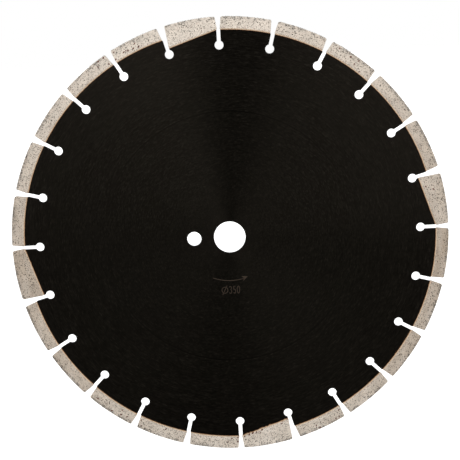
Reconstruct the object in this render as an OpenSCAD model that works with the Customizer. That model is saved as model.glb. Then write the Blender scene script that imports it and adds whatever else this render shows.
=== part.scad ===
// Laser welded diamond blade for concrete and masonry: a slotted steel core, and round its
// rim a row of sintered segments, of which every sixth one is a deep wedge that guards the core.
// The blade stands upright. Its spin axis is Y, its front face looks along -Y, and the origin
// is the centre of the bore at half the core's thickness. Segments are counted clockwise from
// the top, as seen from the front.

/* [Blade] */
// Diameter over the segments
blade_d = 350; // [345:1:400]
// Thickness of the steel core
core_t = 2.2; // [1.8:0.1:2.4]

/* [Bore and drive pin] */
// Diameter of the bore
bore_d = 25.4; // [20:0.1:30]
// Diameter of the drive pin hole
pin_hole_d = 11.5; // [8:0.1:13]
// Distance of the drive pin hole from the bore's centre
pin_hole_offset = 28.5; // [26:0.1:50]

/* [Slots] */
// Width of a slot
slot_w = 3; // [2:0.1:3.5]
// Diameter of the round relief at a slot's inner end
keyhole_d = 7; // [5:0.1:9]
// Depth of the relief's centre below the circle where the feet meet the core
keyhole_depth = 12.2; // [11:0.1:18]

/* [Segments] */
// Length of a segment
segment_l = 40; // [34:0.1:41]
// Radial height of a standard segment, with its foot
segment_h = 10; // [8:0.1:12]
// Thickness of a segment
segment_t = 3.2; // [2.8:0.1:4]
// Radial height of the diamond-free foot, from the joint with the core
foot_h = 2.2; // [1.2:0.1:3]
// Offset of a standard segment from the middle of its land, counter-clockwise
segment_shift = 0.45; // [0:0.05:0.6]

/* [Deep segments] */
// How much nearer the centre the straight joint line lies than the round joint
deep_drop = 7.8; // [5:0.1:8]
// Angle from the slot at the deep end back to the joint line's normal
deep_tilt = 3.15; // [2.5:0.05:4]
// Offset of a deep segment from the middle of its land, clockwise
deep_shift = 0.36; // [0:0.02:0.5]
// Counter-clockwise turn of a deep segment on its land
deep_turn = 1.1; // [0:0.1:1.5]

/* [Weld] */
// Radial width of the weld seam, half in the core and half in the foot
seam_w = 0.8; // [0.4:0.1:1.2]
// Height of the seam's crown above each face of the core
seam_crown = 0.15; // [0.05:0.05:0.2]
// Width of the flat strip between the core's edge and the crown
seam_step = 0.15; // [0.1:0.05:0.2]

/* [Hidden] */
segment_count = 24;
deep_every = 6;
pitch = 360 / segment_count;
blade_r = blade_d / 2;
joint_r = blade_r - segment_h;
deep_joint = joint_r - deep_drop;
deep_normal = pitch / 2 + deep_tilt;
// Reach of the cutting shapes, past the rim of the blade
reach = blade_r + 20;
$fn = 180;

function is_deep(i) = i % deep_every == 0;
function numbered(name, i) = str(name, i < 10 ? "_0" : "_", i);
function segment_name(i) = numbered(is_deep(i) ? "deep_segment" : "segment", i);
function foot_name(i) = numbered(is_deep(i) ? "deep_segment_foot" : "segment_foot", i);

// Stands a flat outline, drawn as seen from the front, upright as a plate of thickness t
module plate(t) {
    rotate([90, 0, 0])
        linear_extrude(height = t, center = true)
            children();
}

// Turns an outline drawn at the top onto the middle of land i
module on_land(i) {
    rotate(-(i - 0.5) * pitch)
        children();
}

// Everything beyond the joint between core and segment, raised outward by rise
module beyond_joint(i, rise) {
    if (is_deep(i))
        rotate(deep_normal)
            translate([-reach, deep_joint + rise])
                square([2 * reach, reach]);
    else
        difference() {
            translate([-reach, 0])
                square([2 * reach, reach]);
            circle(r = joint_r + rise);
        }
}

// The strip between a segment's two end faces
module segment_strip(i) {
    shift = is_deep(i) ? deep_shift : -segment_shift;
    turn = is_deep(i) ? deep_turn : 0;
    translate([shift, blade_r])
        rotate(turn)
            translate([-segment_l / 2, -reach / 2])
                square([segment_l, reach]);
}

// One layer of segment i, from rise low to rise high above the joint
module layer(i, low, high) {
    difference() {
        intersection() {
            segment_strip(i);
            beyond_joint(i, low);
        }
        beyond_joint(i, high);
    }
}

// One open slot with its round relief, drawn at the top
module slot() {
    keyhole_r = joint_r - keyhole_depth;
    translate([-slot_w / 2, keyhole_r])
        square([slot_w, reach - keyhole_r]);
    translate([0, keyhole_r])
        circle(d = keyhole_d);
}

module all_slots() {
    for (i = [1:segment_count])
        rotate(-i * pitch)
            slot();
}

// The slanted bite that a deep segment takes out of the rim, from its deep end's slot onward
module deep_notch(i) {
    on_land(i)
        rotate(deep_normal)
            translate([deep_joint * tan(deep_tilt), deep_joint - seam_w / 2])
                square([reach / 2, reach]);
}

module core() {
    color([0.10, 0.095, 0.08])
        difference() {
            plate(core_t)
                difference() {
                    circle(r = joint_r - seam_w / 2);
                    all_slots();
                    for (i = [deep_every:deep_every:segment_count])
                        deep_notch(i);
                }
            rotate([90, 0, 0])
                cylinder(d = bore_d, h = 2 * core_t, center = true);
            translate([-pin_hole_offset, 0, 0])
                rotate([90, 0, 0])
                    cylinder(d = pin_hole_d, h = 2 * core_t, center = true);
        }
}

// The stretch of seam under segment i, from rise low up to the foot
module seam(i, low, t) {
    plate(t)
        difference() {
            on_land(i)
                layer(i, low, seam_w / 2);
            all_slots();
        }
}

module weld_seams() {
    color([0.60, 0.50, 0.42])
        for (i = [1:segment_count]) {
            seam(i, -seam_w / 2, core_t);
            seam(i, seam_step - seam_w / 2, core_t + 2 * seam_crown);
        }
}

module segment_foot(i) {
    color([0.72, 0.66, 0.58])
        plate(segment_t)
            on_land(i)
                layer(i, seam_w / 2, foot_h);
}

module segment(i) {
    color([0.78, 0.73, 0.67])
        plate(segment_t)
            on_land(i)
                intersection() {
                    segment_strip(i);
                    beyond_joint(i, foot_h);
                    circle(r = blade_r);
                }
}

core();
weld_seams();
for (i = [1:segment_count]) {
    segment(i);
    segment_foot(i);
}
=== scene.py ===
"""The looks of a laser welded diamond blade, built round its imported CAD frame.

The blade stands upright with its spin axis along Y and its marked face towards -Y. Lands, the
stretches of rim between two slots, are counted clockwise from the top as seen from the front, and
every sixth one carries a deep wedge segment. Points on a land are first laid out in the segment's
own strip: `along` runs clockwise from the strip's middle and `up` runs outwards from the rim circle.
"""

import math

import bpy
import numpy as np
from mathutils import Matrix, Vector, noise


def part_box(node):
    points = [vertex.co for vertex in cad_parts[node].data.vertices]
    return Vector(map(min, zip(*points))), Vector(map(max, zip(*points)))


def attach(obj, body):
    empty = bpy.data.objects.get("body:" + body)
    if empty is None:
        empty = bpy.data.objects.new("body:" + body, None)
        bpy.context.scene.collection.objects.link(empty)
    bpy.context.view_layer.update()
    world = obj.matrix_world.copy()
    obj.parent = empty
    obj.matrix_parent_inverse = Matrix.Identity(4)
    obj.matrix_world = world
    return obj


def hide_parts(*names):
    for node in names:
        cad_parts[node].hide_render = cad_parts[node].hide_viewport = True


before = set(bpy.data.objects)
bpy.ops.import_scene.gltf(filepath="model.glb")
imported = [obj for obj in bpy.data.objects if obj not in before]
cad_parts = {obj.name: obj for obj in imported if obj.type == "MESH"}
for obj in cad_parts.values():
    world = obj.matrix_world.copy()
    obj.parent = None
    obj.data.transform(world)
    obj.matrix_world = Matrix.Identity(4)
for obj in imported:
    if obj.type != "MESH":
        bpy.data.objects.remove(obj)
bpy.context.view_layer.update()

MM = 0.001


# ---------------------------------------------------------------- sizes, in metres


def radii(node):
    """Smallest and largest distance of a CAD node's corners from the spin axis."""
    reach = [math.hypot(v.co.x, v.co.z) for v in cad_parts[node].data.vertices]
    return min(reach), max(reach)


CORE_R = radii("core")[1]
FOOT_LOW, FOOT_TOP = radii("segment_foot_01")[0], radii("segment_01")[0]
RIM_R = radii("segment_01")[1]
JOINT_R = (CORE_R + FOOT_LOW) / 2
SEAM_HALF = (FOOT_LOW - CORE_R) / 2
FOOT_H = FOOT_TOP - JOINT_R
CORE_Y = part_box("core")[1].y
SEGMENT_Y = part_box("segment_01")[1].y

# The layout of the lands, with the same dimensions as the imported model. Shifts run clockwise. A deep
# segment meets the core in a straight line, given by the angle of its normal and its drop.
LANDS = 24
DEEP_EVERY = 6
PITCH = 2 * math.pi / LANDS
SEGMENT_L = 40 * MM
STANDARD_SHIFT = -0.45 * MM
DEEP_SHIFT = 0.36 * MM
DEEP_TURN = math.radians(1.1)
DEEP_NORMAL = PITCH / 2 + math.radians(3.15)
DEEP_DROP = 7.8 * MM

# Added along the strip for each land, so that no two lands show the same stretch of a noise.
LAND_APART_MM = 100.0


# ---------------------------------------------------------------- the shape of a land


def is_deep(land):
    return land % DEEP_EVERY == 0


def turned(x, y, angle):
    """The point or points (x, y) turned counter-clockwise by angle."""
    return (
        x * math.cos(angle) - y * math.sin(angle),
        x * math.sin(angle) + y * math.cos(angle),
    )


def strip_point(land, along, up):
    """A point of the segment's strip in its land's frame, where y points out through the middle."""
    shift, turn = (DEEP_SHIFT, DEEP_TURN) if is_deep(land) else (STANDARD_SHIFT, 0.0)
    x, y = turned(along, up, turn)
    return x + shift, y + RIM_R


def up_at_circle(land, along, radius):
    """How far up the strip meets a circle about the spin axis."""
    x, y = strip_point(land, along, 0.0)
    dx, dy = turned(0.0, 1.0, DEEP_TURN if is_deep(land) else 0.0)
    middle = x * dx + y * dy
    return -middle + np.sqrt(middle**2 - (x**2 + y**2 - radius**2))


def up_at_joint(land, along, rise):
    """How far up the strip meets the joint with the core, raised outwards by rise."""
    if not is_deep(land):
        return up_at_circle(land, along, JOINT_R + rise)
    x, y = strip_point(land, along, 0.0)
    dx, dy = turned(0.0, 1.0, DEEP_TURN)
    nx, ny = turned(0.0, 1.0, DEEP_NORMAL)
    return (JOINT_R - DEEP_DROP + rise - x * nx - y * ny) / (dx * nx + dy * ny)


def on_blade(land, along, up):
    """Blade coordinates (x, z) of a point of the strip."""
    x, y = strip_point(land, along, up)
    return turned(x, y, -(land - 0.5) * PITCH)


# ---------------------------------------------------------------- mesh helpers


def mesh_object(name, points, faces, material, smooth=True, **attributes):
    """A new mesh piece. Each attribute is one value or one triple for each point."""
    mesh = bpy.data.meshes.new(name)
    mesh.from_pydata([tuple(p) for p in points], [], [tuple(f) for f in faces])
    for key, values in attributes.items():
        values = np.asarray(values, np.float32)
        if values.ndim == 1:
            mesh.attributes.new(key, "FLOAT", "POINT").data.foreach_set("value", values)
        else:
            layer = mesh.attributes.new(key, "FLOAT_VECTOR", "POINT")
            layer.data.foreach_set("vector", values.ravel())
    mesh.polygons.foreach_set("use_smooth", [smooth] * len(mesh.polygons))
    mesh.materials.append(material)
    mesh.update()
    piece = bpy.data.objects.new(name, mesh)
    bpy.context.scene.collection.objects.link(piece)
    return piece


def stations(low, high, step, edge):
    """Rising positions from low to high: close together within edge of each end, then step apart."""
    near = np.array([0.0, 0.3, 0.65, 1.0]) * edge
    count = max(2, round((high - low - 2 * edge) / step))
    middle = np.linspace(low + edge, high - edge, count + 1)[1:-1]
    return np.concatenate([low + near, middle, high - near[::-1]])


def block_lattice(nx, ny, nz):
    """Indices (i, j, k) of the points on the surface of an nx by ny by nz lattice, and its quads."""
    i, j, k = np.meshgrid(range(nx), range(ny), range(nz), indexing="ij")
    outer = (i == 0) | (i == nx - 1) | (j == 0) | (j == ny - 1) | (k == 0) | (k == nz - 1)
    number = np.full((nx, ny, nz), -1)
    number[outer] = np.arange(outer.sum())
    quads = []
    for axis in range(3):
        for end in (0, -1):
            side = np.take(number, end, axis=axis)
            a, b, c, d = side[:-1, :-1], side[1:, :-1], side[1:, 1:], side[:-1, 1:]
            loop = (a, b, c, d) if (end == -1) == (axis != 1) else (a, d, c, b)
            quads.append(np.stack([q.ravel() for q in loop], 1))
    return np.stack([i[outer], j[outer], k[outer]], 1), np.concatenate(quads)


def noise_at(points, scale, seed):
    """Smooth noise from -1 to 1 at each point, given in millimetres."""
    offset = Vector((seed * 7.3, seed * 3.1, seed * 5.7))
    return np.array([noise.noise(Vector(p) * scale + offset) for p in points])


# ---------------------------------------------------------------- segments and feet

EDGE_R = 0.22 * MM
LENGTH_STEP = 0.8 * MM
ACROSS_STEP = 0.8 * MM
HEIGHT_STEP = 0.9 * MM

# How the rim wears down at a segment's ends, and the ends that took a knock: -1 first, 1 last.
CORNER_L = 1.1 * MM
CORNER_DROP = 0.35 * MM
KNOCKED_END = {18: -1, 19: 1}
KNOCKED_DROP = 0.9 * MM

# Heights of the surface relief in millimetres, and the scale of the noise behind each.
BROAD_RELIEF = 0.030
BROAD_SCALE = 0.22
FINE_RELIEF = 0.012
FINE_SCALE = 1.7
CHIP_DEPTH = 0.28
CHIP_SCALE = 0.9
RIM_RELIEF = 0.10
RIM_SCALE = 1.1


def worn_corners(land, along):
    """How far the rim has worn down near the two ends of a segment."""
    near = np.clip(1.0 - (SEGMENT_L / 2 - np.abs(along)) / CORNER_L, 0.0, 1.0)
    knocked = KNOCKED_END.get(land, 0) * along > 0
    return near**2 * np.where(knocked, KNOCKED_DROP, CORNER_DROP)


# Segments that are lighter or darker than their neighbours, by this share of the tone's range.
OWN_TONE = {2: -0.1, 6: 0.15, 7: -0.1, 9: -0.1, 12: 0.1, 16: -0.1, 18: -0.1, 20: 0.1, 21: 0.1}


def tone_at(land, x, z):
    """How bright the metal looks: a painted sheen, lighter above and below than at the two sides of
    the rim, plus each segment's own shade.
    """
    angle = np.arctan2(x, z)
    # Painted sheen and shade: the ground metal lighter towards the top and bottom of the blade, darker
    # at its sides, as it caught the light.
    smooth = 0.61 + 0.27 * np.cos(2 * angle) - 0.03 * np.cos(angle) - 0.06 * np.sin(angle)
    return smooth + OWN_TONE.get(land, 0.0)


def relief_at(point, out, to_rim, land):
    """Height of the relief in millimetres: waves everywhere, chips on edges, and a rougher rim."""
    in_mm = point / MM
    waves = BROAD_RELIEF * noise_at(in_mm, BROAD_SCALE, land)
    waves = waves + FINE_RELIEF * noise_at(in_mm, FINE_SCALE, land)
    sharpness = np.clip((np.abs(out) > 0.2).sum(1) - 1, 0, 2)
    chips = np.clip(noise_at(in_mm, CHIP_SCALE, land + 50) - 0.1, 0.0, 1.0)
    rough = to_rim * noise_at(in_mm, RIM_SCALE, land + 9)
    return waves - CHIP_DEPTH * chips * sharpness - RIM_RELIEF * rough


def sintered_block(name, land, low_rise, high_rise, material):
    """One layer of a segment, with worn edges. high_rise None means that it reaches the rim."""
    reaches_rim = high_rise is None
    xs = stations(-SEGMENT_L / 2, SEGMENT_L / 2, LENGTH_STEP, EDGE_R)
    ys = stations(-SEGMENT_Y, SEGMENT_Y, ACROSS_STEP, EDGE_R)
    low = up_at_joint(land, xs, low_rise)
    if reaches_rim:
        high = up_at_circle(land, xs, RIM_R) - worn_corners(land, xs)
    else:
        high = up_at_joint(land, xs, high_rise)
    tall = float((high - low).max())
    shares = stations(0.0, tall, HEIGHT_STEP, EDGE_R) / tall
    index, quads = block_lattice(len(xs), len(ys), len(shares))

    along, across = xs[index[:, 0]], ys[index[:, 1]]
    height = (high - low)[index[:, 0]]
    rise = shares[index[:, 2]] * height
    point = np.stack([along, across, rise], 1)
    floor = 0.0 if reaches_rim else EDGE_R
    ceiling = height - EDGE_R if reaches_rim else height
    inner = np.stack(
        [
            np.clip(along, -SEGMENT_L / 2 + EDGE_R, SEGMENT_L / 2 - EDGE_R),
            np.clip(across, -SEGMENT_Y + EDGE_R, SEGMENT_Y - EDGE_R),
            np.clip(rise, floor, ceiling),
        ],
        1,
    )
    out = point - inner
    length = np.linalg.norm(out, axis=1, keepdims=True)
    out = np.where(length > 1e-9, out / np.maximum(length, 1e-9), 0.0)

    to_rim = np.clip(1.0 - (height - rise) / EDGE_R, 0.0, 1.0) if reaches_rim else 0.0
    relief = relief_at(point, out, to_rim, land)
    radius = np.where(length > 1e-9, EDGE_R + relief[:, None] * MM, 0.0)
    placed = inner + out * radius

    up = low[index[:, 0]] + placed[:, 2]
    x, z = on_blade(land, placed[:, 0], up)
    rim_depth = (RIM_R - np.hypot(x, z)) / MM
    apart = along / MM + LAND_APART_MM * land
    place = np.stack([apart, (low_rise + placed[:, 2]) / MM, placed[:, 1] / MM], 1)
    return mesh_object(
        name,
        np.stack([x, placed[:, 1], z], 1),
        quads,
        material,
        place=place,
        rim_depth=rim_depth,
        tone=tone_at(land, x, z),
    )


# ---------------------------------------------------------------- diamond grit

GRIT_PER_MM2 = 0.42
GRIT_SMALL = 0.17 * MM
GRIT_LARGE = 0.33 * MM
GRIT_MARGIN = 0.7 * MM
GRIT_SEED = 1000

# Lands whose grit thins out towards the core, with the share that is left there.
THIN_GRIT = {4: 0.5, 7: 0.25, 10: 0.5, 16: 0.3, 17: 0.35, 19: 0.5}


def crystal():
    """The corners and faces of a cuboctahedron, the blocky habit of sawing grit."""
    corners = []
    for axis in range(3):
        for a in (-1, 1):
            for b in (-1, 1):
                corner = [a, b]
                corner.insert(axis, 0)
                corners.append(corner)
    corners = np.array(corners, float)
    faces = []
    normals = [s * np.eye(3)[axis] for axis in range(3) for s in (-1, 1)]
    normals += [np.array([a, b, c]) for a in (-1, 1) for b in (-1, 1) for c in (-1, 1)]
    for normal in normals:
        reach = corners @ normal
        ring = np.flatnonzero(reach > reach.max() - 1e-6)
        side = corners[ring[0]] - normal * reach.max() / (normal @ normal)
        other = np.cross(normal, side)
        turn = np.arctan2(corners[ring] @ other, corners[ring] @ side * np.linalg.norm(normal))
        faces.append(ring[np.argsort(turn)])
    return corners, faces


CRYSTAL, CRYSTAL_FACES = crystal()


def random_rotation(rng):
    """A rotation matrix, with every rotation equally likely."""
    q = rng.normal(size=4)
    w, x, y, z = q / np.linalg.norm(q)
    return np.array(
        [
            [1 - 2 * (y * y + z * z), 2 * (x * y - w * z), 2 * (x * z + w * y)],
            [2 * (x * y + w * z), 1 - 2 * (x * x + z * z), 2 * (y * z - w * x)],
            [2 * (x * z - w * y), 2 * (y * z + w * x), 1 - 2 * (x * x + y * y)],
        ]
    )


def grit_places(land, rng):
    """Where crystals break the surface: (x, y, z) and the outward direction there."""
    found = []
    half = SEGMENT_L / 2 - GRIT_MARGIN
    alongs = np.linspace(-half, half, 81)
    bottom = up_at_joint(land, alongs, FOOT_H)
    top = up_at_circle(land, alongs, RIM_R)
    deepest = float((top - bottom).max())
    face_count = round(GRIT_PER_MM2 * 2 * half * deepest / MM**2)
    for side in (-1, 1):
        along = rng.uniform(-half, half, face_count)
        depth = rng.uniform(GRIT_MARGIN, deepest, face_count)
        room = np.interp(along, alongs, top - bottom)
        left = 1.0 - (1.0 - THIN_GRIT.get(land, 1.0)) * depth / deepest
        keep = (depth < room - GRIT_MARGIN / 2) & (rng.uniform(size=face_count) < left)
        for a, d in zip(along[keep], depth[keep]):
            x, z = on_blade(land, a, np.interp(a, alongs, top) - d)
            found.append(((x, side * SEGMENT_Y, z), (0.0, side, 0.0)))
    rim_count = round(GRIT_PER_MM2 * 2 * half * 2 * SEGMENT_Y / MM**2)
    for a, y in zip(rng.uniform(-half, half, rim_count), rng.uniform(-1, 1, rim_count)):
        x, z = on_blade(land, a, np.interp(a, alongs, top))
        found.append(((x, y * (SEGMENT_Y - GRIT_MARGIN), z), (x / RIM_R, 0.0, z / RIM_R)))
    return found


def diamond_grit(land, material):
    """The crystals of one segment that stand out of its faces and its rim, as one piece."""
    rng = np.random.default_rng(GRIT_SEED + land)
    points, faces, shades = [], [], []
    for place, outward in grit_places(land, rng):
        size = rng.uniform(GRIT_SMALL, GRIT_LARGE)
        sunk = rng.uniform(0.25, 0.75) * size
        centre = np.array(place) - np.array(outward) * sunk
        start = len(points) * len(CRYSTAL)
        points.append(centre + CRYSTAL @ random_rotation(rng).T * size)
        faces += [tuple(start + f) for f in CRYSTAL_FACES]
        shades += [rng.uniform()] * len(CRYSTAL)
    return mesh_object(
        f"diamond_grit_{land:02d}",
        np.concatenate(points),
        faces,
        material,
        smooth=False,
        shade=shades,
    )


# ---------------------------------------------------------------- rust spots

# Spots on the front of a land: millimetres clockwise from its middle, and out from its joint. The
# back repeats them mirrored.
RUST_SPOTS = {
    3: ((5, 8), (-13, 8), (-2, 7), (3.5, 4), (10, 1.5)),
    6: ((-12, 3), (-9, 8)),
    11: ((2, 9), (-16, 8), (-13, 8), (4, 6), (-18, 3)),
    12: ((18, 1.2), (14, 1), (11, 1), (8, 1.2), (3, 1), (5, 3), (-14, 2)),
    13: ((-19, 5), (-14, 2), (-18.5, 1.5), (-11, 5)),
    14: ((17, 7.5), (-3, 2.5), (18.5, 3)),
    15: ((-1, 8), (-9, 7), (14, 6.5), (-14, 6), (-8, 3)),
    22: ((13, 9), (18, 9), (10, 5.5), (18, 2.5)),
    23: ((-18, 8), (-0.5, 6), (-11, 4), (-7.5, 3.5), (-3, 3), (1.5, 2.5), (-19, 2.5), (-9, 4)),
}
SPOT_LONG = 1.15 * MM
SPOT_WIDE = 0.65 * MM
SPOT_H = 0.09 * MM
SPOT_CORNERS = 14
SPOT_SEED = 77


def rust_spots(material):
    """Small raised blooms of rust on both faces of some segments, as one piece."""
    rng = np.random.default_rng(SPOT_SEED)
    points, faces = [], []
    way = np.linspace(0.0, 2 * math.pi, SPOT_CORNERS, endpoint=False)
    for land, spots in RUST_SPOTS.items():
        for along, rise in spots:
            for side in (-1, 1):
                tilt = rng.uniform(0.2, 1.2)
                size = rng.uniform(0.75, 1.15)
                ragged = rng.uniform(0.75, 1.2, SPOT_CORNERS)
                a, r = turned(
                    SPOT_LONG * size * ragged * np.cos(way),
                    SPOT_WIDE * size * ragged * np.sin(way),
                    tilt,
                )
                middle = -side * along * MM
                up = up_at_joint(land, middle, 0.0) + rise * MM
                start = len(points)
                for share, height in ((1.0, -SPOT_H), (0.7, SPOT_H * 0.8)):
                    x, z = on_blade(land, middle + share * a, up + share * r)
                    y = np.full(SPOT_CORNERS, side * (SEGMENT_Y + height))
                    points += list(zip(x, y, z))
                x, z = on_blade(land, middle, up)
                points += [(x, side * (SEGMENT_Y - SPOT_H), z), (x, side * (SEGMENT_Y + SPOT_H), z)]
                under = start + 2 * SPOT_CORNERS
                crown = under + 1
                for n in range(SPOT_CORNERS):
                    m = (n + 1) % SPOT_CORNERS
                    low_n, low_m = start + n, start + m
                    top_n, top_m = low_n + SPOT_CORNERS, low_m + SPOT_CORNERS
                    ring = [(low_n, low_m, top_m, top_n), (top_n, top_m, crown)]
                    ring.append((low_m, low_n, under))
                    faces += [f[::-side] for f in ring]
    return mesh_object("rust_spots", points, faces, material)


# ---------------------------------------------------------------- weld seams

RIPPLE_STEP = 0.2 * MM
RIPPLE_PITCH = 0.62 * MM
SLOT_HALF = 1.5 * MM
BEAD_H = 0.30 * MM
BEAD_SUNK = 0.02 * MM
BEAD_OUT = 0.05 * MM
ARC_STEPS = 8
BEAD_CORNERS = 2 * (ARC_STEPS + 1)

# A seam's edge on the core wanders out to 1.5 times its spill at most, half of it on average, and
# never less than the least spill. The seams listed as wavy have a spill of their own.
EVEN_SPILL = 0.25 * MM
LEAST_SPILL = 0.14 * MM
WAVY_SEAMS = {12: 0.9 * MM}


def seam_span(land):
    """Where the seam starts and ends along the strip: the shorter of the segment and the land."""
    alongs = np.linspace(-SEGMENT_L / 2, SEGMENT_L / 2, 801)
    x, z = on_blade(land, alongs, up_at_joint(land, alongs, 0.0))
    first_x, first_z = turned(x, z, (land - 1) * PITCH)
    last_x, last_z = turned(x, z, land * PITCH)
    on_core = alongs[(first_x > SLOT_HALF) & (last_x < -SLOT_HALF)]
    return on_core[0], on_core[-1]


def seam_points(land, along, phase):
    """Points of the seam at one place: round its front bead, through to the back and round that."""
    points = []
    ripple = abs(math.sin(math.pi * along / RIPPLE_PITCH + phase))
    swell = BEAD_H * (0.72 + 0.28 * ripple)
    wander = noise.noise((along / MM * 0.45, land * 3.7, 0.0))
    spill = max(WAVY_SEAMS.get(land, EVEN_SPILL) * (0.5 + wander), LEAST_SPILL)
    arc = [math.pi * n / ARC_STEPS for n in range(ARC_STEPS + 1)]
    for side in (-1, 1):
        for a in arc if side < 0 else reversed(arc):
            share = (1 - math.cos(a)) / 2
            rise = SEAM_HALF * 0.95 * (2 * share - 1) - spill * (1 - share)
            y = side * (CORE_Y - BEAD_SUNK + swell * math.sin(a))
            x, z = on_blade(land, along, up_at_joint(land, along, rise + BEAD_OUT))
            points.append(((x, y, z), SEAM_HALF * (2 * share - 1) / MM))
    return points


def weld_beads(material):
    """All 24 seams, rippled as a pulsed laser leaves them, as one piece."""
    points, faces, rises, places = [], [], [], []
    for land in range(1, LANDS + 1):
        low, high = seam_span(land)
        count = round((high - low) / RIPPLE_STEP)
        alongs = np.linspace(low, high, count + 1)
        first = len(points)
        for n, along in enumerate(alongs):
            start = len(points)
            for place, rise in seam_points(land, float(along), land * 1.3):
                points.append(place)
                rises.append(rise)
                places.append((along / MM + LAND_APART_MM * land, rise, place[1] / MM))
            if n:
                before = start - BEAD_CORNERS
                for k in range(BEAD_CORNERS):
                    m = (k + 1) % BEAD_CORNERS
                    faces.append((before + k, before + m, start + m, start + k))
        last = len(points) - BEAD_CORNERS
        faces.append(tuple(range(first + BEAD_CORNERS - 1, first - 1, -1)))
        faces.append(tuple(range(last, last + BEAD_CORNERS)))
    return mesh_object("weld_beads", points, faces, material, place=places, rise=rises)


# ---------------------------------------------------------------- marks

INK_H = 0.03 * MM
ARROW_R = 41.5 * MM
ARROW_CENTRE = (-0.3 * MM, 6.1 * MM)
ARROW_STROKE = 0.52 * MM
ARROW_TIP = (12.7 * MM, -32.6 * MM)
ARROW_WAY = math.radians(20)

# The ends of the arrow's shaft, as angles in degrees, and its head's corners from the tip, in mm.
ARROW_START = -111.0
ARROW_END = -75.5
ARROW_HEAD = ((0.0, 0.0), (-4.9, 2.0), (-3.3, 0.0), (-4.9, -2.1))

FIGURE_STROKE = 0.5 * MM
FIGURE_H = 5.7 * MM
FIGURE_BASE = -45.95 * MM


def arc_points(centre, rx, ry, start, end, steps):
    """Points on an ellipse from angle start to end, in degrees."""
    angles = np.radians(np.linspace(start, end, steps + 1))
    return np.stack([centre[0] + rx * np.cos(angles), centre[1] + ry * np.sin(angles)], 1)


def ribbon(line, width, closed=False):
    """The left and right edges of a stroke drawn along a line."""
    line = np.asarray(line, float)
    if closed:
        ahead, behind = np.roll(line, -1, 0), np.roll(line, 1, 0)
    else:
        ahead = np.concatenate([line[1:], line[-1:]])
        behind = np.concatenate([line[:1], line[:-1]])
    way = ahead - behind
    way /= np.linalg.norm(way, axis=1, keepdims=True)
    side = np.stack([-way[:, 1], way[:, 0]], 1) * width / 2
    return line + side, line - side


class Ink:
    """Thin raised shapes on the front of the core, gathered into one mesh."""

    def __init__(self):
        self.points = []
        self.faces = []

    def prism(self, left, right, closed=False):
        """A thin closed layer between two edges that have their points in step."""
        count = len(left)
        start = len(self.points)
        for x, z in [*left, *right]:
            self.points.append((x, -CORE_Y - INK_H, z))
        for x, z in [*left, *right]:
            self.points.append((x, -CORE_Y + INK_H, z))
        under = start + 2 * count
        cells = range(count if closed else count - 1)
        for n in cells:
            m = (n + 1) % count
            self.faces.append((start + n, start + m, start + count + m, start + count + n)[::-1])
            self.faces.append((under + n, under + m, under + count + m, under + count + n))
            self.faces.append((start + n, start + m, under + m, under + n))
            self.faces.append(
                (start + count + n, start + count + m, under + count + m, under + count + n)[::-1]
            )
        if not closed:
            for n in (0, count - 1):
                end = (start + n, start + count + n, under + count + n, under + n)
                self.faces.append(end[::-1] if n == 0 else end)

    def stroke(self, line, width, closed=False):
        left, right = ribbon(line, width, closed)
        self.prism(left, right, closed)

    def piece(self, name, material):
        return mesh_object(name, self.points, self.faces, material, smooth=False)


def direction_arrow(material):
    """The turning direction: a shallow arc under the bore with a barbed head."""
    ink = Ink()
    shaft = arc_points(ARROW_CENTRE, ARROW_R, ARROW_R, ARROW_START, ARROW_END, 48)
    ink.stroke(shaft, ARROW_STROKE)
    head = np.array(ARROW_HEAD) * MM
    x, z = turned(head[:, 0], head[:, 1], ARROW_WAY)
    head = np.stack([x + ARROW_TIP[0], z + ARROW_TIP[1]], 1)
    ink.prism(head[[1, 0]], head[[2, 2]])
    ink.prism(head[[0, 3]], head[[2, 2]])
    return ink.piece("direction_arrow", material)


def size_figure(material):
    """The blade's diameter in plain strokes: a slashed circle and three digits."""
    ink = Ink()
    base, high = FIGURE_BASE, FIGURE_H
    middle, top = base + high / 2, base + high
    upper, lower = high * 0.23, high * 0.27

    def draw(*parts, closed=False):
        ink.stroke(np.concatenate(parts), FIGURE_STROKE, closed)

    ring_x = -6.3 * MM
    draw(arc_points((ring_x, middle), 2.35 * MM, 2.5 * MM, 0, 352.5, 47), closed=True)
    draw([(ring_x - 1.9 * MM, base - 0.9 * MM), (ring_x + 1.9 * MM, top + 0.9 * MM)])
    three_x, half = -1.85 * MM, 0.9 * MM
    draw(
        arc_points((three_x, top - upper), half, upper, 150, -80, 24),
        arc_points((three_x, base + lower), half, lower, 80, -150, 24),
    )
    five_x, half = 1.45 * MM, 0.8 * MM
    draw(
        [(five_x + half, top), (five_x - half * 0.8, top)],
        [(five_x - half * 0.8, top - high * 0.42)],
        arc_points((five_x, base + lower * 1.08), half, lower * 1.08, 110, -150, 28),
    )
    zero_x, half = 4.65 * MM, 1.0 * MM
    draw(arc_points((zero_x, middle), half, high / 2, 0, 352.5, 47), closed=True)
    return ink.piece("size_figure", material)


# ---------------------------------------------------------------- materials


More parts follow.
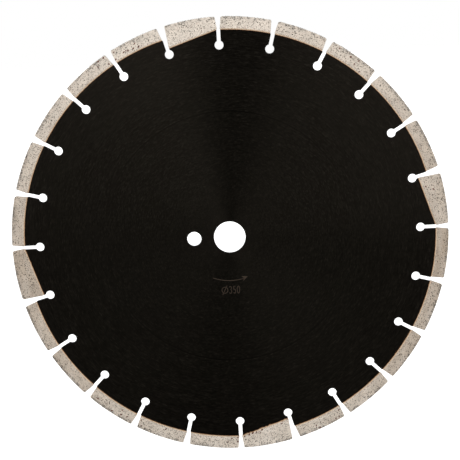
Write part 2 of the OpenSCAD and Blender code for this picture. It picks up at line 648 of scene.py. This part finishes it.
class Graph:
    """A material's node tree, with one short call for each kind of node."""

    def __init__(self, name):
        self.material = bpy.data.materials.new(name)
        self.material.use_nodes = True
        self.tree = self.material.node_tree
        self.shader = self.tree.nodes["Principled BSDF"]

    def add(self, kind, inputs=(), **settings):
        made = self.tree.nodes.new(kind)
        for key, value in settings.items():
            setattr(made, key, value)
        for key, value in dict(inputs).items():
            self.put(made.inputs[key], value)
        return made

    def put(self, socket, value):
        if isinstance(value, bpy.types.NodeSocket):
            self.tree.links.new(value, socket)
        else:
            socket.default_value = value

    def surface(self, **inputs):
        for key, value in inputs.items():
            self.put(self.shader.inputs[key.replace("_", " ")], value)

    def math(self, operation, a, b=0.0, clamp=False):
        made = self.add("ShaderNodeMath", {0: a, 1: b}, operation=operation, use_clamp=clamp)
        return made.outputs[0]

    def vector(self, operation, a, b=(0.0, 0.0, 0.0), scale=1.0):
        made = self.add("ShaderNodeVectorMath", {0: a, 1: b, 3: scale}, operation=operation)
        return made.outputs["Value" if operation == "LENGTH" else "Vector"]

    def object_mm(self):
        """The place on the object in millimetres."""
        place = self.add("ShaderNodeTexCoord").outputs["Object"]
        return self.vector("SCALE", place, scale=1 / MM)

    def attribute(self, name, output="Vector"):
        return self.add("ShaderNodeAttribute", attribute_name=name).outputs[output]

    def noise(self, vector, scale, detail=2.0, roughness=0.5):
        made = self.add(
            "ShaderNodeTexNoise",
            {"Vector": vector, "Scale": scale, "Detail": detail, "Roughness": roughness},
        )
        return made.outputs[0]

    def cells(self, vector, scale):
        """Distance to the nearest of many scattered points, and that point's own random colour."""
        made = self.add("ShaderNodeTexVoronoi", {"Vector": vector, "Scale": scale})
        return made.outputs["Distance"], made.outputs["Color"]

    def span(self, value, low, high, to_low=0.0, to_high=1.0):
        """value from low to high, eased onto to_low to to_high."""
        made = self.add(
            "ShaderNodeMapRange",
            {0: value, 1: low, 2: high, 3: to_low, 4: to_high},
            interpolation_type="SMOOTHSTEP",
        )
        return made.outputs[0]

    def mix(self, share, a, b, blend="MIX"):
        made = self.add("ShaderNodeMix", data_type="RGBA", blend_type=blend)
        self.put(made.inputs[0], share)
        self.put(made.inputs[6], a)
        self.put(made.inputs[7], b)
        return made.outputs[2]

    def bump(self, height, strength, distance):
        made = self.add(
            "ShaderNodeBump", {"Height": height, "Strength": strength, "Distance": distance}
        )
        self.tree.links.new(made.outputs[0], self.shader.inputs["Normal"])


def rgb(red, green, blue):
    """A linear colour from sRGB values of 0 to 255."""
    def linear(value):
        share = value / 255
        return share / 12.92 if share <= 0.04045 else ((share + 0.055) / 1.055) ** 2.4

    return (linear(red), linear(green), linear(blue), 1.0)


# A faint turned ring in the core, part of the way out, with painted shade in its groove and a painted
# highlight on its lip, towards the top and bottom only.
RING_R_MM = 101.0
RING_HALF_MM = 0.45

PAINT = rgb(6.4, 5.6, 4.4)
PAINT_SHEEN = 0.056

# Rotation of the anisotropy on every ground face, in whole turns.
ALONG_GRINDING = 0.25

# The ends of the segment metal's range: painted sheen and painted shade round the blade, and each
# segment's own shade, blend between them.
LIGHT_METAL_AND_SHEEN = rgb(223, 211, 196)
DARK_METAL_AND_SHADE = rgb(154, 135, 113)
GREY_SPECK = rgb(58, 62, 58)
RUSTY_SPECK = rgb(120, 58, 34)
RIM_BAND = rgb(50, 47, 39)
# Warm and light near the weld: heat tint, and a painted highlight along the foot's lower edge.
HEAT_TINT_AND_HIGHLIGHT = rgb(212, 188, 158)


def paint_material():
    """Black paint over a circular ground steel disc: the grinding arcs show through it, their sheen
    painted into the colour as lighter streaks and glints.
    """
    g = Graph("black_paint_on_ground_steel")
    place = g.object_mm()
    flat = g.vector("MULTIPLY", place, (1.0, 0.0, 1.0))
    radius = g.vector("LENGTH", flat)
    direction = g.add("ShaderNodeVectorMath", {0: flat}, operation="NORMALIZE").outputs[0]

    def arcs(turns, per_mm, detail):
        """Noise drawn out along circles round the bore."""
        around = g.vector("SCALE", direction, scale=turns)
        outward = g.add("ShaderNodeCombineXYZ", {1: g.math("MULTIPLY", radius, per_mm)}).outputs[0]
        return g.noise(g.vector("ADD", around, outward), 1.0, detail)

    broad = arcs(5.0, 0.35, 3.0)
    fine = arcs(21.0, 1.6, 2.0)
    scratches_and_glints = arcs(30.0, 1.2, 1.0)
    mottle = g.noise(place, 0.55, 3.0, 0.6)
    # Painted sheen: the arcs lighten and darken the paint's colour as their reflections would, the
    # scratches add painted glints, and the mottle varies it at random.
    shade = g.math("MULTIPLY", g.span(broad, 0.3, 0.7, 0.75, 1.25), g.span(fine, 0.34, 0.66, 0.3, 1.7))
    shade = g.math("MULTIPLY", shade, g.span(mottle, 0.34, 0.66, 0.6, 1.4))
    shade = g.math("ADD", shade, g.span(scratches_and_glints, 0.59, 0.71, 0.0, 2.6))
    # Painted shade in the ring's groove and a painted highlight on the lip beside it, shown only
    # towards the top and bottom of the disc.
    off_ring = g.math("SUBTRACT", radius, RING_R_MM)
    ring = g.span(g.math("ABSOLUTE", off_ring), RING_HALF_MM * 0.5, RING_HALF_MM * 1.4, 1.0, 0.0)
    lip = g.math("ABSOLUTE", g.math("SUBTRACT", off_ring, 2 * RING_HALF_MM))
    lip = g.span(lip, RING_HALF_MM * 0.5, RING_HALF_MM * 1.4, 1.0, 0.0)
    upright = g.add("ShaderNodeSeparateXYZ", {0: direction}).outputs[2]
    top_and_bottom = g.span(g.math("ABSOLUTE", upright), 0.35, 0.75)
    painted_ring_shading = g.math("SUBTRACT", g.math("MULTIPLY", lip, 0.6), g.math("MULTIPLY", ring, 1.0))
    shade = g.math("MULTIPLY", shade, g.math("ADD", 1.0, g.math("MULTIPLY", painted_ring_shading, top_and_bottom)))
    shade = g.add("ShaderNodeCombineXYZ", {0: shade, 1: shade, 2: shade}).outputs[0]
    height = g.math("ADD", fine, g.math("MULTIPLY", mottle, 0.5))
    height = g.math("SUBTRACT", height, ring)
    g.bump(height, 0.25, 0.02 * MM)
    tangent = g.add("ShaderNodeTangent", direction_type="RADIAL", axis="Y").outputs[0]
    g.surface(
        Base_Color=g.mix(1.0, PAINT, shade, "MULTIPLY"),
        Roughness=0.322,
        Anisotropic=0.9,
        Anisotropic_Rotation=ALONG_GRINDING,
        Tangent=tangent,
        Specular_IOR_Level=PAINT_SHEEN,
        Specular_Tint=(1.0, 0.85, 0.67, 1.0),
    )
    return g.material


def sintered_colour(g, place):
    """The mottled, finely streaked colour of a ground sintered face, with painted sheen and shade
    round the blade, and two noises for its bump.
    """
    blotch = g.noise(g.vector("MULTIPLY", place, (0.10, 0.16, 0.16)), 1.0, 3.0, 0.6)
    streak = g.noise(g.vector("MULTIPLY", place, (0.35, 3.4, 3.4)), 1.0, 2.0, 0.6)
    grain = g.noise(place, 2.6, 2.0, 0.7)
    share = g.math("ADD", g.math("MULTIPLY", blotch, 0.5), g.math("MULTIPLY", streak, 0.3))
    share = g.math("ADD", share, g.math("MULTIPLY", grain, 0.2))
    shade = g.span(share, 0.34, 0.66, 1.14, 0.84)
    shade = g.add("ShaderNodeCombineXYZ", {0: shade, 1: shade, 2: shade}).outputs[0]
    # Painted sheen: the metal lighter towards the top and bottom of the blade and darker at its sides.
    metal = g.mix(g.attribute("tone", "Fac"), DARK_METAL_AND_SHADE, LIGHT_METAL_AND_SHEEN)
    return g.mix(1.0, metal, shade, "MULTIPLY"), streak, grain


def specks(g, place, scale, size, share):
    """A mask of scattered uneven dots, of which only a share is kept, and the colour of each."""
    wobble = g.add("ShaderNodeTexNoise", {"Vector": place, "Scale": 1.9, "Detail": 1.0}).outputs[1]
    far, own = g.cells(g.vector("ADD", place, g.vector("SCALE", wobble, scale=0.7)), scale)
    chance = g.add("ShaderNodeSeparateColor", {0: own}).outputs
    kept = g.math("LESS_THAN", chance[0], share)
    dot = g.span(far, size * 0.55, size, 1.0, 0.0)
    return g.math("MULTIPLY", dot, kept), g.mix(g.span(chance[1], 0.5, 0.75), GREY_SPECK, RUSTY_SPECK)


def ground_finish(g, colour):
    """The sheen of a face ground along the rim, so its reflections spread towards the bore."""
    g.surface(
        Base_Color=colour,
        Roughness=0.6,
        Anisotropic=0.95,
        Anisotropic_Rotation=ALONG_GRINDING,
        Tangent=g.add("ShaderNodeTangent", direction_type="RADIAL", axis="Y").outputs[0],
        IOR=2.08,
    )


def segment_material():
    """Ground sintered metal with dark grit specks, partly painted shade in the pits they sit in, and a
    darker, crumbling band at the rim.
    """
    g = Graph("sintered_diamond_layer")
    place = g.attribute("place")
    rim_depth = g.attribute("rim_depth", "Fac")
    colour, streak, grain = sintered_colour(g, place)
    # Dark specks in small pits: grey grit and rust colour, with painted shade in the pits.
    dots, own = specks(g, place, 1.2, 0.40, 0.75)
    colour = g.mix(g.math("MULTIPLY", dots, 0.66), colour, own)
    ragged = g.noise(g.vector("MULTIPLY", place, (0.55, 0.9, 0.9)), 1.0, 3.0, 0.7)
    depth = g.math("ADD", rim_depth, g.math("MULTIPLY", g.math("SUBTRACT", ragged, 0.5), 5.5))
    band = g.math("MULTIPLY", g.span(depth, -0.5, 0.3), g.span(depth, 1.3, 2.1, 1.0, 0.0))
    patches = g.span(g.noise(g.vector("MULTIPLY", place, (0.22, 0.0, 0.3)), 1.0, 2.0), 0.41, 0.55)
    crumbs = g.span(specks(g, place, 1.25, 0.62, 0.85)[0], 0.0, 1.0, 0.25, 1.0)
    band = g.math("MULTIPLY", band, g.math("MULTIPLY", patches, crumbs))
    colour = g.mix(band, colour, RIM_BAND)
    height = g.math("ADD", g.math("MULTIPLY", grain, 0.6), g.math("MULTIPLY", streak, 0.4))
    height = g.math("SUBTRACT", height, g.math("MULTIPLY", dots, 0.8))
    g.bump(height, 0.5, 0.06 * MM)
    ground_finish(g, colour)
    return g.material


def foot_material():
    """The same metal with pores in place of grit, and warmer and lighter towards the weld: heat tint,
    and a painted highlight along its lower edge.
    """
    g = Graph("sintered_foot")
    place = g.attribute("place")
    colour, streak, grain = sintered_colour(g, place)
    rise = g.add("ShaderNodeSeparateXYZ", {0: place}).outputs[1]
    wander = g.math("MULTIPLY", g.math("SUBTRACT", g.noise(place, 0.8, 3.0), 0.5), 0.9)
    # Heat tint and a painted highlight: the foot's lowest part is warmer and lighter, next to the
    # weld.
    heat_and_highlight = g.span(g.math("ADD", rise, wander), 0.4, 1.1, 1.0, 0.0)
    colour = g.mix(g.math("MULTIPLY", heat_and_highlight, 0.7), colour, HEAT_TINT_AND_HIGHLIGHT)
    # Dark pores: grey and rust colour, with painted shade in the holes.
    pores, own = specks(g, place, 1.2, 0.48, 0.85)
    colour = g.mix(g.math("MULTIPLY", pores, 0.9), colour, own)
    g.bump(g.math("ADD", grain, streak), 0.4, 0.04 * MM)
    ground_finish(g, colour)
    return g.material


def weld_material():
    """Heat-tinted bead, its inner side under the ragged edge of the black paint."""
    g = Graph("laser_weld_bead")
    place = g.attribute("place")
    rise = g.attribute("rise", "Fac")
    tint = g.noise(place, 1.4, 3.0, 0.6)
    hot = g.span(g.math("ADD", rise, g.math("MULTIPLY", tint, 0.2)), 0.0, 0.25)
    metal = g.mix(hot, rgb(138, 98, 66), rgb(214, 195, 170))
    wander = g.math("SUBTRACT", g.noise(g.vector("MULTIPLY", place, (0.7, 1.0, 1.0)), 1.0, 4.0), 0.5)
    edge = g.math("ADD", rise, g.math("MULTIPLY", wander, 0.6))
    painted = g.span(edge, -0.34, -0.24, 1.0, 0.0)
    colour = g.mix(painted, metal, rgb(6, 5, 4))
    g.bump(tint, 0.4, 0.03 * MM)
    g.surface(Base_Color=colour, Roughness=0.6, Specular_IOR_Level=0.15)
    return g.material


def grit_material():
    """Dark greenish grey crystals, each of its own shade."""
    g = Graph("diamond_crystals")
    shade = g.attribute("shade", "Fac")
    colour = g.mix(shade, rgb(30, 27, 22), rgb(80, 74, 62))
    g.surface(Base_Color=colour, Roughness=0.35, Specular_IOR_Level=0.3)
    return g.material


def rust_material():
    """Red-brown rust, darker in its middle grains."""
    g = Graph("rust_bloom")
    grain = g.noise(g.object_mm(), 2.4, 3.0, 0.7)
    g.surface(
        Base_Color=g.mix(g.span(grain, 0.35, 0.65), rgb(62, 26, 20), rgb(108, 54, 38)),
        Roughness=0.9,
        Specular_IOR_Level=0.1,
    )
    g.bump(grain, 0.5, 0.03 * MM)
    return g.material


def mark_material():
    """The slightly uneven brownish grey of the marks."""
    g = Graph("etched_marking")
    grain = g.noise(g.object_mm(), 2.2, 3.0, 0.7)
    g.surface(
        Base_Color=g.mix(g.span(grain, 0.3, 0.7), rgb(66, 55, 46), rgb(48, 40, 33)),
        Roughness=0.7,
        Specular_IOR_Level=0.1,
    )
    g.bump(grain, 0.3, 0.02 * MM)
    return g.material


FLOOR_GLOW = 1.0
FLOOR_HALF = 12.0


def floor_material():
    """A white light table, faintly mottled."""
    g = Graph("white_studio_floor")
    mottle = g.noise(g.add("ShaderNodeTexCoord").outputs["Object"], 3.0)
    g.surface(
        Base_Color=g.mix(mottle, (0.58, 0.58, 0.58, 1.0), (0.54, 0.54, 0.54, 1.0)),
        Roughness=0.9,
        Specular_IOR_Level=0.0,
        Emission_Color=(1.0, 1.0, 1.0, 1.0),
        Emission_Strength=FLOOR_GLOW,
    )
    return g.material


# ---------------------------------------------------------------- the object


def keep(piece, slot, *nodes):
    """Joins a piece to the blade's one body and hides the CAD nodes that it replaces. The slot is not
    used.
    """
    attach(piece, "root")
    if nodes:
        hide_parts(*nodes)


def build_blade():
    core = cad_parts["core"]
    core.data.materials.clear()
    core.data.materials.append(paint_material())
    segment, foot, grit = segment_material(), foot_material(), grit_material()
    for land in range(1, LANDS + 1):
        deep = "deep_" if is_deep(land) else ""
        block = sintered_block(f"{deep}diamond_layer_{land:02d}", land, FOOT_H, None, segment)
        keep(block, "diamond_layer", f"{deep}segment_{land:02d}")
        base = sintered_block(f"{deep}foot_layer_{land:02d}", land, SEAM_HALF, FOOT_H, foot)
        keep(base, "foot", f"{deep}segment_foot_{land:02d}")
        keep(diamond_grit(land, grit), "diamond_layer")
    keep(weld_beads(weld_material()), "weld", "weld_seams")
    keep(rust_spots(rust_material()), "diamond_layer")
    marking = mark_material()
    keep(direction_arrow(marking), "core_paint")
    keep(size_figure(marking), "core_paint")


# ---------------------------------------------------------------- studio

CAMERA_AZIMUTH = math.radians(1.168)
CAMERA_ELEVATION = math.radians(8.61)
CAMERA_ROLL = math.radians(-3.202)
CAMERA_DISTANCE = 1.10195
CAMERA_AIM = Vector((0.00047, 0.0, 0.00557))
CAMERA_LENS = 107.56


def place_camera():
    data = bpy.data.cameras.new("camera")
    data.lens = CAMERA_LENS
    data.sensor_width = 36.0
    camera = bpy.data.objects.new("camera", data)
    bpy.context.scene.collection.objects.link(camera)
    level = math.cos(CAMERA_ELEVATION)
    back = Vector(
        (
            math.sin(CAMERA_AZIMUTH) * level,
            -math.cos(CAMERA_AZIMUTH) * level,
            math.sin(CAMERA_ELEVATION),
        )
    )
    right = (-back).cross(Vector((0.0, 0.0, 1.0))).normalized()
    up = right.cross(-back)
    turn = Matrix.Rotation(CAMERA_ROLL, 3, back)
    right, up = turn @ right, turn @ up
    pose = Matrix((right, up, back)).transposed().to_4x4()
    pose.translation = CAMERA_AIM + back * CAMERA_DISTANCE
    camera.matrix_world = pose
    bpy.context.scene.camera = camera


# The room's brightness in front of the blade, and where along Y it starts and stops rising to 1.
FRONT_ROOM = 0.3
FADE_START = -0.75
FADE_END = 0.2

# Each softbox: name, place, width, height and brightness. Both face the bore.
SOFTBOXES = (
    ("left_softbox", (-0.26, -1.14, 0.37), 0.255, 1.43, 5.9),
    ("right_softbox", (0.32, -1.005, 0.26), 0.20, 1.31, 7.5),
)


def light_only(source, pieces):
    """Keeps what a lamp or a glowing piece gives off to the pieces listed."""
    receivers = bpy.data.collections.new(f"lit_by_{source.name}")
    for piece in pieces:
        receivers.objects.link(piece)
    source.light_linking.receiver_collection = receivers


def soft_light(name, place, width, height, brightness, receivers):
    data = bpy.data.lights.new(name, "AREA")
    data.shape = "RECTANGLE"
    data.size = width
    data.size_y = height
    data.energy = brightness * math.pi * width * height
    lamp = bpy.data.objects.new(name, data)
    bpy.context.scene.collection.objects.link(lamp)
    lamp.location = place
    lamp.rotation_euler = (-Vector(place)).to_track_quat("-Z", "Y").to_euler()
    light_only(lamp, receivers)


def light_studio():
    """A white room, dimmer in front, and two softboxes that are flagged off the floor."""
    world = bpy.data.worlds.new("white_studio")
    world.use_nodes = True
    tree = world.node_tree
    way = tree.nodes.new("ShaderNodeTexCoord").outputs["Generated"]
    axes = tree.nodes.new("ShaderNodeSeparateXYZ")
    fade = tree.nodes.new("ShaderNodeMapRange")
    fade.interpolation_type = "SMOOTHSTEP"
    for index, value in enumerate((FADE_START, FADE_END, FRONT_ROOM, 1.0), 1):
        fade.inputs[index].default_value = value
    tree.links.new(way, axes.inputs[0])
    tree.links.new(axes.outputs["Y"], fade.inputs[0])
    tree.links.new(fade.outputs[0], tree.nodes["Background"].inputs["Strength"])
    tree.nodes["Background"].inputs["Color"].default_value = (1.0, 1.0, 1.0, 1.0)
    bpy.context.scene.world = world
    bpy.context.scene.view_settings.view_transform = "Standard"
    blade = [piece for piece in bpy.context.scene.objects if piece.type == "MESH"]
    for softbox in SOFTBOXES:
        soft_light(*softbox, blade)


def lay_floor():
    """The light table under the blade. Its glow shows, but doesn't light the blade from below."""
    half = FLOOR_HALF
    z = -RIM_R
    corners = [(-half, -half, z), (half, -half, z), (half, half, z), (-half, half, z)]
    floor = mesh_object("studio_floor", corners, [(0, 1, 2, 3)], floor_material())
    light_only(floor, [floor])


place_camera()
build_blade()
light_studio()
lay_floor()
